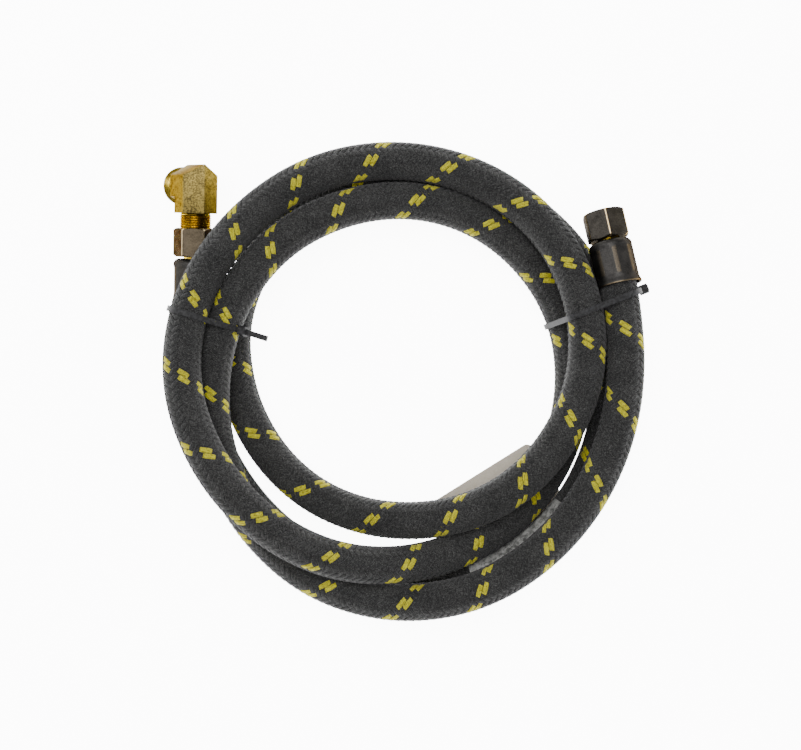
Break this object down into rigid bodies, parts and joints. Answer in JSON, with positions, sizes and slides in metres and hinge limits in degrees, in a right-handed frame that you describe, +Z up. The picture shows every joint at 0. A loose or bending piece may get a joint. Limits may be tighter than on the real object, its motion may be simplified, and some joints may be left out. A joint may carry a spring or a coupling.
{
  "type": "braided supply line",
  "caption": "Coiled flexible hose with a woven cover, a crimped swivel nut fitting at each end, a brass elbow on one end, cable ties and a blank label.",
  "frame": {"origin": "middle of the coil's footprint, on the surface that it lies on", "axes": "+Z up through the coil, +Y from the middle of the coil towards the side where both fittings point, +X to the right of that seen from above"},
  "size_m": [0.22, 0.214, 0.0528],
  "materials": {
    "inner_rubber": "smooth",
    "ply_textile": "matte",
    "cover_textile": "matte",
    "stem_brass": "machined",
    "ferrule_black": "gloss",
    "nut_plated": "satin",
    "nut_bronze": "satin",
    "seal_rubber": "matte",
    "elbow_brass": "machined",
    "tie_nylon": "gloss",
    "label_film": "matte"
  },
  "bodies": {
    "hose": {"inner_tube": "inner_rubber", "reinforcement_braid": "ply_textile", "outer_braid": "cover_textile", "stem_a": "stem_brass", "stem_b": "stem_brass", "ferrule_a": "ferrule_black", "ferrule_b": "ferrule_black", "seal_a": "seal_rubber", "seal_b": "seal_rubber", "cable_tie_left_1": "tie_nylon", "cable_tie_left_2": "tie_nylon", "cable_tie_right": "tie_nylon", "label": "label_film"},
    "nut_a": {"swivel_nut_a": "nut_plated"},
    "nut_b": {"swivel_nut_b": "nut_bronze"},
    "elbow": {"elbow": "elbow_brass"}
  },
  "joints": [
    {"name": "elbow_unscrew", "type": "slide", "parent": "hose", "child": "elbow", "axis": [0.0278, 0.9938, 0.108], "range_m": [0, 0.00635]},
    {"name": "nut_a_turn", "type": "hinge", "parent": "hose", "child": "nut_a", "pos_m": [-0.09443, 0.06263, 0.0178], "axis": [0.0278, 0.9938, 0.108], "range_deg": [0, 2165]},
    {"name": "nut_b_spin", "type": "hinge", "parent": "hose", "child": "nut_b", "pos_m": [0.09006, 0.06968, 0.02157], "axis": [-0.2027, 0.9705, -0.1305], "continuous": true}
  ],
  "couplings": [
    {"joint": "nut_a_turn", "follows": "elbow_unscrew", "rad_per_m": 5937.1}
  ]
}
